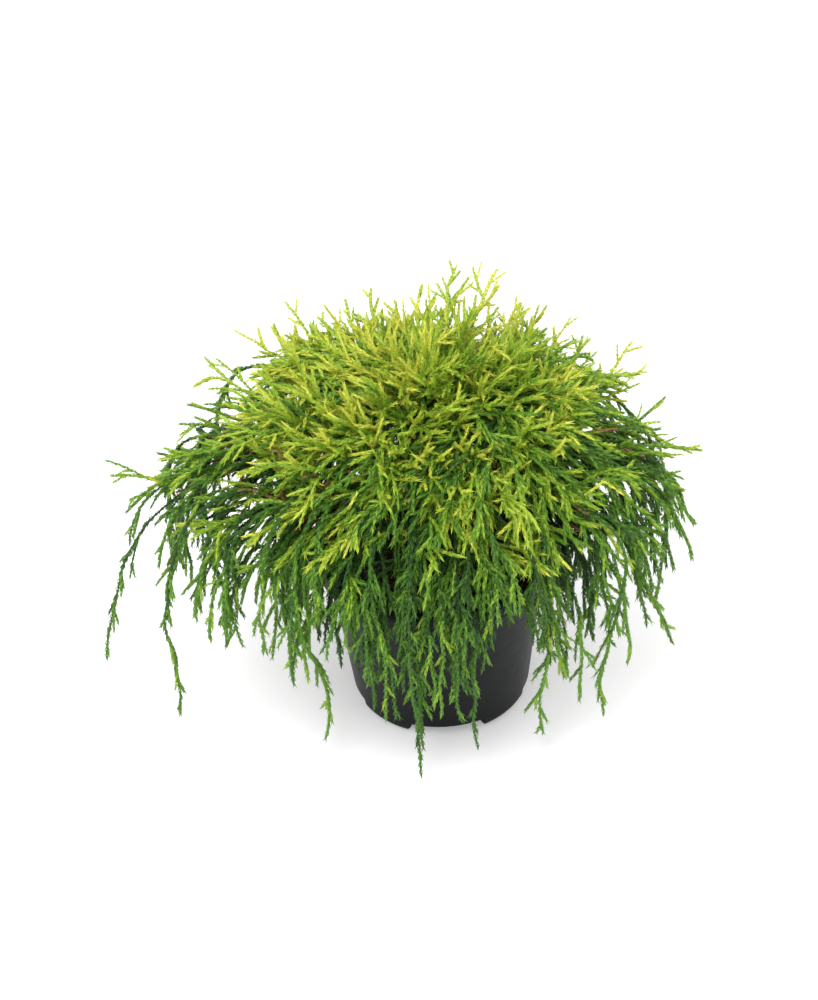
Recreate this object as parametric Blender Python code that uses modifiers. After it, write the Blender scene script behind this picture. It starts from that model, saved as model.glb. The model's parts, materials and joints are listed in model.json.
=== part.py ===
"""Potted threadleaf sawara cypress: a low weeping mop of whipcord foliage in a round nursery pot.

Metres, +Z up. The origin is the middle of the pot's flat underside. The side that
faces -Y is the front, and azimuths are counted from +X towards +Y.
"""
import math

import bmesh
import bpy
from mathutils import Matrix, Quaternion, Vector, noise
from mathutils.bvhtree import BVHTree

GAP = 0.0003  # air left between two pieces that touch

# Pot: a 13 cm nursery pot
POT_HEIGHT = 0.100
RIM_RADIUS = 0.065
LIP_HEIGHT = 0.014
WALL_TOP_RADIUS = 0.0583  # outside, just under the lip
FOOT_RADIUS = 0.0488
FOOT_ROUNDING = 0.006
WALL = 0.0014
POT_STEPS = 36
HOLLOW_TURN = math.pi / POT_STEPS  # the hollow's facets meet the outer ones half way
RECESS_COUNT = 4
RECESS_HALF_ANGLE = math.radians(27)
RECESS_INNER_RADIUS = 0.026
RECESS_HEIGHT = 0.008
RECESS_ROUNDING = 0.0025
RECESS_STEPS = 4  # flats along each recess's arc
FRONT_RECESS_AZIMUTH = math.radians(-88)
DRAIN_RADIUS = 0.004
DRAIN_CIRCLE = 0.037
DRAIN_SIDES = 12

# Compost
SOIL_LEVEL = 0.088

# Stem
STEM_FOOT_RADIUS = 0.0095
STEM_RADIUS = 0.0055
STEM_TIP_RADIUS = 0.0042
STEM_TOP = 0.150
STEM_LEAN = Vector((-0.004, 0.003, 0))
STEM_SHARES = (0, 0.04, 0.10, 0.20, 0.40, 0.70, 1)  # closer together where the root flare curves
FLARE_SHARE = 0.09  # share of the stem's height in which the flare dies away

# Boughs
BOUGH_RADIUS = 0.0029
BOUGH_TIP_RADIUS = 0.0017
BOUGH_LOWEST = 0.106
BOUGH_HIGHEST = 0.146
BOUGH_SKIP = 4  # neighbours round the stem leave it this many places apart in height
SHOULDER_BOUGH_RISE = 0.034  # how far a bough climbs before it turns out to its mass
TOP_BOUGH_RISE = 0.004
BOUGH_BEND = 0.42  # share of the way out at which a bough turns
BOUGH_STATIONS = 7
ENTRY_STEPS = 400  # trial places for a bough's tip along its curve
ENTRY_SLACK = 0.0002
TIP_SIDES = 8

# Crown: how far the foliage spreads from the pot's axis on its four sides
REACH_RIGHT = 0.134
REACH_BACK = 0.126
REACH_LEFT = 0.158
REACH_FRONT = 0.096
# How low the hanging foliage reaches, every 45 degrees from the right-hand side round the back
HANGING_LOWS = (0.050, 0.040, 0.030, 0.038, 0.056, 0.072, 0.012, 0.044)
HANGING_TOP = 0.153
MASS_RING = 12  # corners round a mass
MASS_STEPS = 7  # bands from one end of a mass to the other
MASS_UNEVENNESS = 0.16
MASS_TAPER = 0.22  # how much narrower a mass gets towards its lower end
MASS_SCALLOP = 0.10  # how far its lower edge is cut into points
MASS_POINTS = 3
LUMPS = 1.9  # lumps per half size of a mass
SEED_SPACING = 7.3  # how far apart two masses read the lump pattern

# One entry a tier. place: middle of the mass as a share of the crown's reach and a height.
# half: half its length down the slope, half its width round the crown, half its thickness.
# fall: how steeply the mass runs down as it goes out.
TIERS = [
    {"name": "top", "count": 5, "turn": 20, "place": (0.44, 0.192), "half": (0.036, 0.037, 0.024),
     "fall": 12, "tone": "foliage_gold"},
    {"name": "shoulder", "count": 9, "turn": 5, "place": (0.74, 0.160), "half": (0.040, 0.040, 0.019),
     "fall": 38, "tone": "foliage_lime"},
    {"name": "hanging", "count": 11, "turn": 1.5, "place": (0.94, None), "half": (None, 0.035, 0.010),
     "fall": 88, "tone": "foliage_green"},
    {"name": "skirt", "count": 6, "turn": 0, "place": (0.69, 0.086),
     "half": (0.068, 0.038, 0.0065), "fall": 89, "tone": "foliage_deep", "clear_of_pot": 0.076},
]
TOP_MIDDLE = {"place": (0.000, 0.012, 0.205), "half": (0.036, 0.036, 0.024), "tone": "foliage_gold"}
CARRIED_TOPS = ("foliage_top_01", "foliage_top_04", "foliage_top_middle")

# The longest sprays, each from where it leaves the crown to its tip
LONG_SPRAYS = [
    ("arching_left", (-0.112, 0.004, 0.174), (-0.167, 0.002, 0.150), "foliage_lime"),
    ("upper_left", (-0.096, 0.040, 0.170), (-0.123, 0.046, 0.178), "foliage_lime"),
    ("back_left", (-0.060, 0.064, 0.178), (-0.075, 0.082, 0.202), "foliage_gold"),
    ("top_back", (0.008, 0.046, 0.202), (0.017, 0.062, 0.232), "foliage_gold"),
    ("top_right", (0.028, 0.040, 0.196), (0.038, 0.062, 0.226), "foliage_gold"),
    ("back_right", (0.084, 0.046, 0.168), (0.111, 0.056, 0.183), "foliage_lime"),
    ("reaching_right", (0.108, 0.002, 0.172), (0.138, 0.004, 0.148), "foliage_lime"),
    ("drooping_left_outer", (-0.142, -0.020, 0.128), (-0.178, -0.030, 0.054), "foliage_green"),
    ("drooping_left_inner", (-0.136, -0.044, 0.100), (-0.142, -0.049, 0.030), "foliage_green"),
    ("drooping_right", (0.116, -0.036, 0.112), (0.124, -0.040, 0.055), "foliage_green"),
    ("dripping_left", (-0.069, -0.070, 0.084), (-0.064, -0.059, 0.014), "foliage_green"),
    ("dripping_front", (0.050, -0.080, 0.080), (0.052, -0.067, 0.015), "foliage_green"),
    ("dripping_right", (0.091, -0.068, 0.080), (0.086, -0.056, 0.020), "foliage_green"),
]
SPRAY_HALF_WIDTH = 0.0085
SPRAY_HALF_THICKNESS = 0.0060
SPRAY_RING = 8

# Base colour, roughness
FINISHES = {
    "pot_plastic": ((0.020, 0.021, 0.024), 0.38),
    "compost": ((0.060, 0.038, 0.024), 0.95),
    "bark": ((0.230, 0.120, 0.065), 0.85),
    "foliage_gold": ((0.480, 0.520, 0.060), 0.60),
    "foliage_lime": ((0.270, 0.420, 0.050), 0.60),
    "foliage_green": ((0.110, 0.270, 0.050), 0.60),
    "foliage_deep": ((0.040, 0.140, 0.045), 0.60),
}


def clear_scene():
    for thing in list(bpy.data.objects):
        bpy.data.objects.remove(thing, do_unlink=True)


def new_collection(name):
    collection = bpy.data.collections.new(name)
    bpy.context.scene.collection.children.link(collection)
    return collection


def make_finishes():
    made = {}
    for name, (colour, roughness) in FINISHES.items():
        material = bpy.data.materials.new(name)
        material.use_nodes = True
        shader = material.node_tree.nodes["Principled BSDF"]
        shader.inputs["Base Color"].default_value = (*colour, 1)
        shader.inputs["Roughness"].default_value = roughness
        material.diffuse_color = (*colour, 1)
        made[name] = material
    return made


def add_object(name, data, collection, material=None):
    thing = bpy.data.objects.new(name, data)
    if material:
        data.materials.append(material)
    collection.objects.link(thing)
    return thing


def around(radius, azimuth, height):
    return Vector((radius * math.cos(azimuth), radius * math.sin(azimuth), height))


def turned(name, profile, collection, material=None):
    """A solid turned round Z from a profile that runs down its outer side, axis to axis."""
    mesh = bpy.data.meshes.new(name)
    edges = [(i, i + 1) for i in range(len(profile) - 1)]
    mesh.from_pydata([(radius, 0, height) for radius, height in profile], edges, [])
    thing = add_object(name, mesh, collection, material)
    screw = thing.modifiers.new("Turn", "SCREW")
    screw.steps = screw.render_steps = POT_STEPS
    screw.use_merge_vertices = True
    screw.merge_threshold = 1e-5
    screw.use_smooth_shade = True
    return thing


def fixed_mesh(thing):
    """The mesh that the object's modifiers or curve give, with loose caps welded on."""
    evaluated = thing.evaluated_get(bpy.context.evaluated_depsgraph_get())
    mesh = bpy.data.meshes.new_from_object(evaluated)
    work = bmesh.new()
    work.from_mesh(mesh)
    bmesh.ops.remove_doubles(work, verts=work.verts, dist=1e-6)
    bmesh.ops.recalc_face_normals(work, faces=work.faces)
    work.to_mesh(mesh)
    work.free()
    return mesh


def as_mesh(thing, collection):
    """Puts a plain mesh object in a curve's place, under the same name and material."""
    bpy.context.view_layer.update()
    mesh, name, place = fixed_mesh(thing), thing.name, thing.matrix_world.copy()
    old = thing.data
    bpy.data.objects.remove(thing, do_unlink=True)
    bpy.data.curves.remove(old)
    made = bpy.data.objects.new(name, mesh)
    made.matrix_world = place
    collection.objects.link(made)
    return made


def cut(thing, cutter):
    boolean = thing.modifiers.new(cutter.name, "BOOLEAN")
    boolean.operation = "DIFFERENCE"
    boolean.solver = "EXACT"
    boolean.object = cutter
    cutter.hide_render = True
    cutter.display_type = "WIRE"


def recess_azimuths():
    return [FRONT_RECESS_AZIMUTH + i * math.tau / RECESS_COUNT for i in range(RECESS_COUNT)]


def recess_cutter(name, margin, collection):
    """The four drain recesses under the pot: ring sectors, margin larger all round."""
    inner, outer = RECESS_INNER_RADIUS - margin, FOOT_RADIUS * 1.3
    half = RECESS_HALF_ANGLE + margin / FOOT_RADIUS
    curve = bpy.data.curves.new(name, "CURVE")
    curve.dimensions = "2D"
    curve.fill_mode = "BOTH"
    curve.extrude = RECESS_HEIGHT + margin
    for middle in recess_azimuths():
        turns = [middle - half + 2 * half * i / RECESS_STEPS for i in range(RECESS_STEPS + 1)]
        points = [around(outer, a, 0) for a in turns] + [around(inner, a, 0) for a in reversed(turns)]
        spline = curve.splines.new("POLY")
        spline.points.add(len(points) - 1)
        spline.use_cyclic_u = True
        for point, place in zip(spline.points, points):
            point.co = (*place, 1)
    cutter = as_mesh(add_object(name, curve, collection), collection)
    rounding = cutter.modifiers.new("Rounding", "BEVEL")
    rounding.width = RECESS_ROUNDING
    rounding.segments = 1
    rounding.angle_limit = math.radians(60)
    return cutter


def foot_arc(radius, low, rounding, steps=2):
    """Profile points round the foot, from the wall down to the underside."""
    turns = [math.pi / 2 * i / steps for i in range(steps + 1)]
    return [(radius - rounding + rounding * math.cos(a), low + rounding - rounding * math.sin(a))
            for a in turns]


def wall_slope():
    return (WALL_TOP_RADIUS - FOOT_RADIUS) / (POT_HEIGHT - LIP_HEIGHT - FOOT_ROUNDING)


def cavity_profile(inset, top):
    """The hollow of the pot up to a height, inset from its walls and floor."""
    under_lip = POT_HEIGHT - LIP_HEIGHT
    wall = WALL + inset
    foot = foot_arc(FOOT_RADIUS - wall, wall, FOOT_ROUNDING)
    radius_at_step = foot[0][0] + wall_slope() * (under_lip - foot[0][1])
    profile = []
    if top > under_lip + 2 * WALL:
        lip_inside = RIM_RADIUS - wall
        profile = [(0, top), (lip_inside, top), (lip_inside - 0.0005, under_lip + 3 * WALL),
                   (radius_at_step, under_lip + WALL + inset)]
    else:
        profile = [(0, top), (foot[0][0] + wall_slope() * (top - foot[0][1]), top)]
    return profile + foot + [(0, wall)]


def drain_cutter(name, azimuth, collection):
    """An upright pin that cuts one drain hole through the roof of a recess."""
    height = RECESS_HEIGHT + 2 * WALL
    work = bmesh.new()
    bmesh.ops.create_cone(work, cap_ends=True, segments=DRAIN_SIDES, radius1=DRAIN_RADIUS,
                          radius2=DRAIN_RADIUS, depth=2 * height)
    mesh = bpy.data.meshes.new(name)
    work.to_mesh(mesh)
    work.free()
    pin = add_object(name, mesh, collection)
    pin.location = around(DRAIN_CIRCLE, azimuth, 0)
    return pin


def build_pot(parts, cutters, finishes):
    under_lip = POT_HEIGHT - LIP_HEIGHT
    lip_edge = 0.0008
    profile = [(0, POT_HEIGHT), (RIM_RADIUS - lip_edge, POT_HEIGHT), (RIM_RADIUS, POT_HEIGHT - lip_edge),
               (RIM_RADIUS - 0.0004, under_lip + 0.0030), (RIM_RADIUS - 0.0018, under_lip + 0.0008),
               (RIM_RADIUS - 0.0040, under_lip), (WALL_TOP_RADIUS, under_lip - 0.0004)]
    profile += foot_arc(FOOT_RADIUS, 0, FOOT_ROUNDING) + [(0, 0)]
    pot = turned("pot", profile, parts, finishes["pot_plastic"])
    hollow = turned("pot_hollow", cavity_profile(0, POT_HEIGHT + WALL), cutters)
    hollow.rotation_euler.z = HOLLOW_TURN
    cut(hollow, recess_cutter("recess_roofs", WALL, cutters))
    cut(pot, recess_cutter("recesses", 0, cutters))
    for number, azimuth in enumerate(recess_azimuths(), 1):
        cut(pot, drain_cutter(f"drain_{number}", azimuth, cutters))
    cut(pot, hollow)
    return pot


def build_compost(parts, cutters, finishes):
    compost = turned("compost", cavity_profile(GAP, SOIL_LEVEL), parts, finishes["compost"])
    compost.rotation_euler.z = HOLLOW_TURN
    cut(compost, recess_cutter("compost_recesses", WALL + GAP, cutters))
    return compost


def limb(name, points, radii, roundness, parts, material):
    """A tapering limb: a curve through its points, with a radius at each and flat ends."""
    curve = bpy.data.curves.new(name, "CURVE")
    curve.dimensions = "3D"
    curve.bevel_depth = 1
    curve.bevel_resolution = roundness
    curve.use_fill_caps = True
    spline = curve.splines.new("POLY")
    spline.points.add(len(points) - 1)
    for point, place, radius in zip(spline.points, points, radii):
        point.co = (*place, 1)
        point.radius = radius
    return as_mesh(add_object(name, curve, parts, material), parts)


def stem_point(share):
    """A point on the stem's axis, from its flat foot on the compost to its fork."""
    foot = SOIL_LEVEL + GAP
    return Vector((0, 0, foot + (STEM_TOP - foot) * share)) + STEM_LEAN * share ** 2


def stem_radius(share):
    flare = (STEM_FOOT_RADIUS - STEM_RADIUS) * math.exp(-share / FLARE_SHARE)
    return STEM_RADIUS + (STEM_TIP_RADIUS - STEM_RADIUS) * share + flare


def build_stem(parts, finishes):
    points = [stem_point(s) for s in STEM_SHARES]
    radii = [stem_radius(s) for s in STEM_SHARES]
    return limb("stem", points, radii, 3, parts, finishes["bark"])


def crown_reach(azimuth):
    """How far the foliage spreads in a direction: four quarter ellipses that meet smoothly."""
    c, s = math.cos(azimuth), math.sin(azimuth)
    side = REACH_RIGHT if c > 0 else REACH_LEFT
    deep = REACH_BACK if s > 0 else REACH_FRONT
    return 1 / math.hypot(c / side, s / deep)


def hanging_low(azimuth):
    """The height that the foliage hangs down to in a direction."""
    place = azimuth / math.tau % 1 * len(HANGING_LOWS)
    first = int(place)
    low, following = HANGING_LOWS[first], HANGING_LOWS[(first + 1) % len(HANGING_LOWS)]
    return low + (following - low) * (place - first)


def mass_frame(down, outward):
    """Axes of a mass as columns: thickness, width, length."""
    length = down.normalized()
    width = Vector((0, 0, 1)).cross(outward).normalized()
    thick = width.cross(length).normalized()
    width = length.cross(thick)
    return Matrix((thick, width, length)).transposed()


def list_masses():
    """Each mass's name, middle, axes, half sizes and tone."""
    masses = []
    for tier in TIERS:
        for number in range(tier["count"]):
            share, height = tier["place"]
            half_length, half_width, half_thick = tier["half"]
            azimuth = math.radians(tier["turn"]) + math.tau * number / tier["count"]
            outward = around(1, azimuth, 0)
            radius = max(share * crown_reach(azimuth), tier.get("clear_of_pot", 0))
            fall = math.radians(tier["fall"])
            if height is None:
                low = hanging_low(azimuth)
                height, half_length = (HANGING_TOP + low) / 2, (HANGING_TOP - low) / 2
            down = outward * math.cos(fall) - Vector((0, 0, math.sin(fall)))
            masses.append({
                "name": f"foliage_{tier['name']}_{number + 1:02d}",
                "middle": outward * radius + Vector((0, 0, height)),
                "axes": mass_frame(down, outward),
                "half": Vector((half_thick, half_width, half_length)),
                "tone": tier["tone"], "tier": tier["name"], "seed": len(masses),
            })
    half_length, half_width, half_thick = TOP_MIDDLE["half"]
    masses.append({
        "name": "foliage_top_middle", "middle": Vector(TOP_MIDDLE["place"]),
        "axes": Matrix.Identity(3), "half": Vector((half_length, half_width, half_thick)),
        "tone": TOP_MIDDLE["tone"], "tier": "top", "seed": len(masses),
    })
    for name, root, tip, tone in LONG_SPRAYS:
        root, tip = Vector(root), Vector(tip)
        outward = Vector((root.x, root.y, 0))
        masses.append({
            "name": f"spray_{name}", "middle": (root + tip) / 2,
            "axes": mass_frame(tip - root, outward),
            "half": Vector((SPRAY_HALF_THICKNESS, SPRAY_HALF_WIDTH, (tip - root).length / 2)),
            "tone": tone, "tier": "spray", "seed": len(masses),
        })
    return masses


def spread_matrix(mass):
    """The mass's ellipsoid as a matrix: its axes times its squared half sizes."""
    squares = Matrix.Diagonal([h * h for h in mass["half"]])
    return mass["axes"] @ squares @ mass["axes"].transposed()


def dividing_plane(one, other):
    """The plane that parts two neighbouring masses, as its normal and its distance."""
    across = other["middle"] - one["middle"]
    best, normal = -1, across
    for step in range(1, 10):
        share = step / 10
        mixed = one["spread"] * (1 - share) + other["spread"] * share
        trial = mixed.inverted() @ across
        contact = share * (1 - share) * across.dot(trial)
        if contact > best:
            best, normal = contact, trial
    normal = normal.normalized()
    reach_one = math.sqrt(normal.dot(one["spread"] @ normal))
    reach_other = math.sqrt(normal.dot(other["spread"] @ normal))
    start = normal.dot(one["middle"])
    split = reach_one / (reach_one + reach_other)
    return normal, start + normal.dot(across) * split


def mass_outline(mass, direction):
    """A corner of the uneven mass, for a direction on the unit sphere round its middle."""
    half = mass["half"]
    round_angle = math.atan2(direction.y, direction.x)
    along = direction.z
    taper = 1 - MASS_TAPER * max(along, 0) ** 2
    points = math.cos(MASS_POINTS * round_angle + mass["seed"])
    scallop = 1 + MASS_SCALLOP * max(along, 0) * points
    local = Vector((half.x * direction.x * taper, half.y * direction.y * taper,
                    half.z * along * scallop))
    rough = noise.noise(direction * LUMPS + Vector((mass["seed"] * SEED_SPACING, 0, 0)))
    swell = 1 + (MASS_UNEVENNESS * rough if mass["tier"] != "spray" else 0)
    return mass["middle"] + mass["axes"] @ local * swell


def build_mass(mass, masses, parts, finishes):
    """An uneven mass cut back to the planes that part it from its neighbours."""
    planes = [dividing_plane(mass, other) for other in masses if other is not mass]
    work = bmesh.new()
    small = mass["tier"] == "spray"
    bmesh.ops.create_uvsphere(work, u_segments=SPRAY_RING if small else MASS_RING,
                              v_segments=MASS_STEPS, radius=1)
    middle = mass["middle"]
    for corner in work.verts:
        place = mass_outline(mass, corner.co.normalized())
        for normal, distance in planes:
            limit = distance - GAP / 2
            beyond = normal.dot(place)
            if beyond > limit:
                from_middle = normal.dot(middle)
                place = middle + (place - middle) * (limit - from_middle) / (beyond - from_middle)
        corner.co = place
    bmesh.ops.triangulate(work, faces=work.faces)
    mesh = bpy.data.meshes.new(mass["name"])
    work.to_mesh(mesh)
    work.free()
    return add_object(mass["name"], mesh, parts, finishes[mass["tone"]])


def curve_point(start, bend, end, share):
    return start.lerp(bend, share).lerp(bend.lerp(end, share), share)


def entry_share(solid, start, bend, end):
    """How far along its curve a bough's flat tip can go before it meets the mass."""
    work = bmesh.new()
    work.from_mesh(solid.data)
    surface = BVHTree.FromBMesh(work)
    work.free()
    shares = [i / ENTRY_STEPS for i in range(1, ENTRY_STEPS)]
    for share in shares:
        place = curve_point(start, bend, end, share)
        heading = curve_point(start, bend, end, share + 1 / ENTRY_STEPS) - place
        across = heading.orthogonal().normalized() * BOUGH_TIP_RADIUS
        rim = [place + Quaternion(heading, math.tau * i / TIP_SIDES) @ across for i in range(TIP_SIDES)]
        if min(surface.find_nearest(point)[3] for point in rim + [place]) < GAP + ENTRY_SLACK:
            return share
    return 1


def build_bough(number, count, mass, solid, parts, finishes):
    """A bough that arches out from the stem and stops where it enters its mass."""
    middle = mass["middle"]
    start_height = BOUGH_LOWEST + (BOUGH_HIGHEST - BOUGH_LOWEST) * mass["order"] / (count - 1)
    foot = SOIL_LEVEL + GAP
    share = (start_height - foot) / (STEM_TOP - foot)
    centre = stem_point(share)
    outward = Vector((middle.x - centre.x, middle.y - centre.y, 0)).normalized()
    rise = SHOULDER_BOUGH_RISE if mass["tier"] == "shoulder" else TOP_BOUGH_RISE
    leaving = outward * (middle - centre).length * BOUGH_BEND + Vector((0, 0, rise))
    tilted = BOUGH_RADIUS * leaving.normalized().z  # how far the root's flat end leans to the stem
    start = centre + outward * (stem_radius(share) + tilted + GAP)
    bend = start + leaving
    end_share = entry_share(solid, start, bend, middle)
    steps = [i / (BOUGH_STATIONS - 1) for i in range(BOUGH_STATIONS)]
    points = [curve_point(start, bend, middle, end_share * step) for step in steps]
    radii = [BOUGH_RADIUS + (BOUGH_TIP_RADIUS - BOUGH_RADIUS) * step for step in steps]
    return limb(f"bough_{number:02d}", points, radii, 1, parts, finishes["bark"])


def main():
    clear_scene()
    parts = new_collection("potted_threadleaf_cypress")
    cutters = new_collection("cutters")
    finishes = make_finishes()
    build_pot(parts, cutters, finishes)
    build_compost(parts, cutters, finishes)
    build_stem(parts, finishes)
    masses = list_masses()
    for mass in masses:
        mass["spread"] = spread_matrix(mass)
    solids = {m["name"]: build_mass(m, masses, parts, finishes) for m in masses}
    shoulders = [m for m in masses if m["tier"] == "shoulder"]
    for place, mass in enumerate(shoulders):
        mass["order"] = place * BOUGH_SKIP % len(shoulders)
    tops = [m for m in masses if m["name"] in CARRIED_TOPS]
    for place, mass in enumerate(tops):
        mass["order"] = len(shoulders) + place
    carried = shoulders + tops
    for number, mass in enumerate(carried, 1):
        build_bough(number, len(carried), mass, solids[mass["name"]], parts, finishes)


main()
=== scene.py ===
import json
import math

import bpy
import numpy as np
from mathutils import Matrix, Vector, noise

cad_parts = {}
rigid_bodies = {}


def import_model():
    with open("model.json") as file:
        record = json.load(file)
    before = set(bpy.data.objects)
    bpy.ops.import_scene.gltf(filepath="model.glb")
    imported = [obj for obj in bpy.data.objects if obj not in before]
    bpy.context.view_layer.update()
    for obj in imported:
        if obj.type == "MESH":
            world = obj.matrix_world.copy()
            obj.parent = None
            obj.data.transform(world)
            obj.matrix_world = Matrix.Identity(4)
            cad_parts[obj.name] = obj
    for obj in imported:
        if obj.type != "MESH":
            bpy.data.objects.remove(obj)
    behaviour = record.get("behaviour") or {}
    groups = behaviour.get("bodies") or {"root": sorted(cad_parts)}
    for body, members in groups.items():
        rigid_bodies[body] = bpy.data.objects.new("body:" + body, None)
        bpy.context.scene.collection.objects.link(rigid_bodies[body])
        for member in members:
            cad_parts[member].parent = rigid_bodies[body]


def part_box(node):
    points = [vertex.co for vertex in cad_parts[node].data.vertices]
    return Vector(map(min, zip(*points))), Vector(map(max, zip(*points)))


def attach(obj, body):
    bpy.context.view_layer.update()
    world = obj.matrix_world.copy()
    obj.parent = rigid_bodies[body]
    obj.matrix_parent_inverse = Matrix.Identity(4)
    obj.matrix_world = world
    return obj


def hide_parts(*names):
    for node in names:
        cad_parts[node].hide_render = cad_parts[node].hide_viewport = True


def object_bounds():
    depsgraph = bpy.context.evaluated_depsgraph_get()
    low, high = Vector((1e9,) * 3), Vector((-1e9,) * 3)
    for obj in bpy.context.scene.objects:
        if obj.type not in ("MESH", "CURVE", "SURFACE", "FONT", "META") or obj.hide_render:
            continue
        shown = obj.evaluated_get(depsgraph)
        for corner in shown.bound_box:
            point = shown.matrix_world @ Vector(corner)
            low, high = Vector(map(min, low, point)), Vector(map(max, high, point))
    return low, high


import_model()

# Potted threadleaf sawara cypress: pot, compost, barked limbs, twigs and scale-leaved threads.
# Metres, +Z up; the side towards -Y is the front, and azimuths count from +X towards +Y.

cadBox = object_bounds()
rng = np.random.default_rng(417)

camera = {
    "distance": 1.3,
    "lookDown": 41.5,  # degrees, towards the middle of the pot's underside
    "roll": -2.6,
    "turnUp": 4.406,  # degrees that the view is turned off that point
    "turnLeft": 0.811,
    "lens": 55.44,
    "sensorHeight": 24,
    "farthest": 50,
}

studio = {
    "floorSize": 40,
    "floorColour": (0.86, 0.86, 0.86),
    "floorRoughness": 0.9,
    "floorGlow": 0.24,  # the lit table under the plant
    "worldLight": 1.0,
    "lightAim": (0, 0, 0.1),
    "keyLight": {"place": (-0.5, -0.7, 1.7), "size": 1.0, "power": 22},
    "fillLight": {"place": (0.9, 0.5, 1.1), "size": 1.2, "power": 5},
}

crown = {
    "right": 0.134, "back": 0.126, "left": 0.158, "front": 0.096,  # reach on its four sides
    "top": 0.218, "drop": 0.072, "dropPower": 2.2,
    # how low it hangs, every 22.5 degrees from the right-hand side round the back
    "lows": (0.050, 0.045, 0.040, 0.035, 0.030, 0.034, 0.038, 0.047,
             0.056, 0.062, 0.072, 0.040, 0.014, 0.112, 0.034, 0.055),
    "rimRadius": 0.069, "overRim": 0.132, "rimBlend": 0.030,  # threads pass outside the pot's rim
    "floorGap": 0.006,
    "spare": 0.007,  # how far a thread may stand out of the model's box
}


def unit(vectors):
    return vectors / np.maximum(np.linalg.norm(vectors, axis=-1, keepdims=True), 1e-9)


def around(radius, azimuth, height):
    return np.array([radius * math.cos(azimuth), radius * math.sin(azimuth), height])


def crownReach(azimuth):
    c, s = math.cos(azimuth), math.sin(azimuth)
    side = crown["right"] if c > 0 else crown["left"]
    deep = crown["back"] if s > 0 else crown["front"]
    return 1 / math.hypot(c / side, s / deep)


def crownHeight(share):
    return crown["top"] - crown["drop"] * share ** crown["dropPower"]


def onCrown(share, azimuth, height):
    return around(share * crownReach(azimuth), azimuth, height)


def hangingLow(azimuth):
    lows = crown["lows"]
    place = azimuth / math.tau % 1 * len(lows)
    first = int(place)
    return lows[first] + (lows[(first + 1) % len(lows)] - lows[first]) * (place - first)


def newObject(name, data):
    thing = bpy.data.objects.new(name, data)
    bpy.context.scene.collection.objects.link(thing)
    return thing


def newMaterial(name):
    material = bpy.data.materials.new(name)
    material.use_nodes = True
    return material, material.node_tree.nodes["Principled BSDF"]


def selectOnly(thing):
    bpy.ops.object.select_all(action="DESELECT")
    thing.select_set(True)
    bpy.context.view_layer.objects.active = thing


def editAll(thing):
    selectOnly(thing)
    bpy.ops.object.mode_set(mode="EDIT")
    bpy.ops.mesh.select_all(action="SELECT")


def applyModifiers(thing):
    selectOnly(thing)
    for modifier in list(thing.modifiers):
        bpy.ops.object.modifier_apply(modifier=modifier.name)


def giveMaterial(thing, material):
    thing.data.materials.clear()
    thing.data.materials.append(material)


def finishPiece(thing, material, slot, *nodes):
    giveMaterial(thing, material)
    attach(thing, "root")
    if nodes:
        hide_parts(*nodes)


def arrayMesh(name, corners, triangles, smooth):
    mesh = bpy.data.meshes.new(name)
    mesh.vertices.add(len(corners))
    mesh.vertices.foreach_set("co", np.asarray(corners, dtype=np.float32).ravel())
    mesh.loops.add(triangles.size)
    mesh.loops.foreach_set("vertex_index", triangles.astype(np.int32).ravel())
    mesh.polygons.add(len(triangles))
    mesh.polygons.foreach_set("loop_start", np.arange(0, triangles.size, 3, dtype=np.int32))
    mesh.update(calc_edges=True)
    mesh.validate()
    if smooth:
        mesh.shade_smooth()
    else:
        mesh.shade_flat()
    return newObject(name, mesh)


# Camera and light

def addCamera():
    tilt, roll = math.radians(camera["lookDown"]), math.radians(camera["roll"])
    forward = Vector((0, math.cos(tilt), -math.sin(tilt)))
    right = Vector((1, 0, 0))
    up = right.cross(forward)
    rolledRight = right * math.cos(roll) + up * math.sin(roll)
    rolledUp = up * math.cos(roll) - right * math.sin(roll)
    axes = Matrix((rolledRight, rolledUp, -forward)).transposed()
    axes = axes @ Matrix.Rotation(math.radians(camera["turnLeft"]), 3, "Y")
    axes = axes @ Matrix.Rotation(math.radians(camera["turnUp"]), 3, "X")
    data = bpy.data.cameras.new("photoCamera")
    data.sensor_fit = "VERTICAL"
    data.sensor_height = camera["sensorHeight"]
    data.lens = camera["lens"]
    data.clip_end = camera["farthest"]
    thing = newObject("photoCamera", data)
    thing.matrix_world = Matrix.Translation(forward * -camera["distance"]) @ axes.to_4x4()
    bpy.context.scene.camera = thing


def addSoftbox(name):
    facts = studio[name]
    data = bpy.data.lights.new(name, "AREA")
    data.size = facts["size"]
    data.energy = facts["power"]
    thing = newObject(name, data)
    thing.location = facts["place"]
    heading = Vector(studio["lightAim"]) - Vector(facts["place"])
    thing.rotation_euler = heading.to_track_quat("-Z", "Y").to_euler()


def addStudio():
    bpy.ops.object.select_all(action="DESELECT")
    bpy.ops.mesh.primitive_plane_add(size=studio["floorSize"])
    floor = bpy.context.object
    floor.name = "studioFloor"
    material, shader = newMaterial("paleFloor")
    shader.inputs["Base Color"].default_value = (*studio["floorColour"], 1)
    shader.inputs["Roughness"].default_value = studio["floorRoughness"]
    shader.inputs["Emission Color"].default_value = (1, 1, 1, 1)
    shader.inputs["Emission Strength"].default_value = studio["floorGlow"]
    giveMaterial(floor, material)
    addSoftbox("keyLight")
    addSoftbox("fillLight")
    world = bpy.data.worlds.new("studioWorld")
    world.use_nodes = True
    background = world.node_tree.nodes["Background"]
    background.inputs["Color"].default_value = (1, 1, 1, 1)
    background.inputs["Strength"].default_value = studio["worldLight"]
    bpy.context.scene.world = world
    bpy.context.scene.view_settings.view_transform = "Standard"
    print("camera and studio set")


# Materials

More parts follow.
